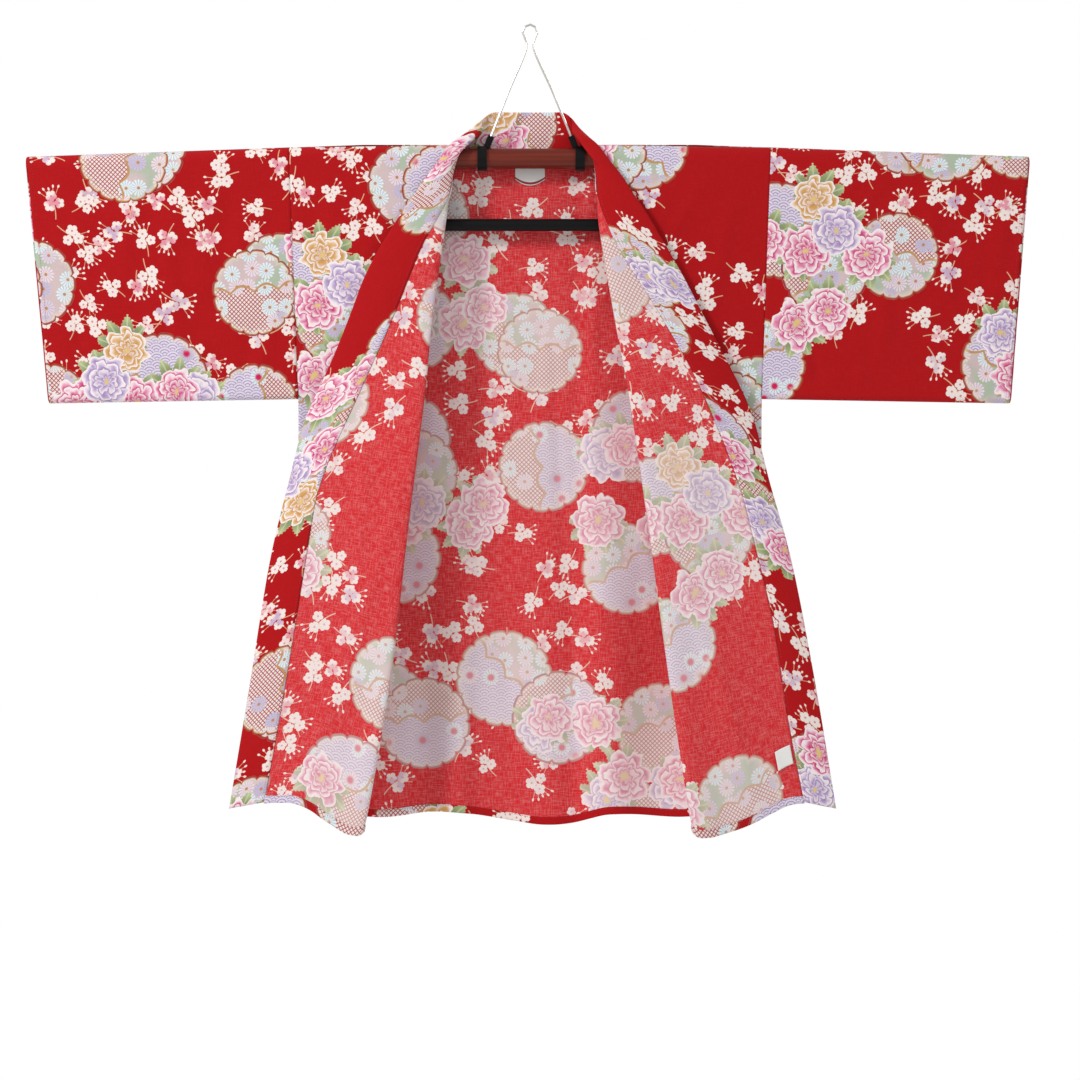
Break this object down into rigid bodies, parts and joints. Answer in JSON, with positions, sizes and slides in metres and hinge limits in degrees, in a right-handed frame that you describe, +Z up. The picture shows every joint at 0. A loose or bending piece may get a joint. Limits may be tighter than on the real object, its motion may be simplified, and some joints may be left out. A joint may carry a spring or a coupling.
{
  "type": "hanten jacket on a kimono hanger",
  "caption": "Unlined cotton hanten jacket in a red floral print, hung open on a kimono hanger with both fronts turned back like lapels.",
  "frame": {"origin": "the top of the wire eye, on the inside, where a hook or peg holds the hanger", "axes": "+Z up, -Y towards the open front of the jacket, +X to the right seen from the front"},
  "size_m": [1.298, 0.1095, 1.0486],
  "materials": {
    "cloth": "matte plain-weave cotton, printed on the right side",
    "collar_cloth": "matte plain-weave cotton, doubled",
    "label": "satin-woven white tape, bare",
    "pole": "reddish-brown, semi-gloss",
    "black_plastic": "black, satin",
    "wire": "thin pale coated wire"
  },
  "bodies": {
    "root": {"back": "cloth", "front_left": "cloth", "front_right": "cloth", "sleeve_left": "cloth", "sleeve_right": "cloth", "collar": "collar_cloth", "neck_label": "label", "care_label": "label", "pole": "pole", "arm_left": "pole", "arm_right": "pole", "bracket_left": "black_plastic", "bracket_right": "black_plastic", "lower_bar": "black_plastic", "yoke": "wire"}
  },
  "joints": []
}
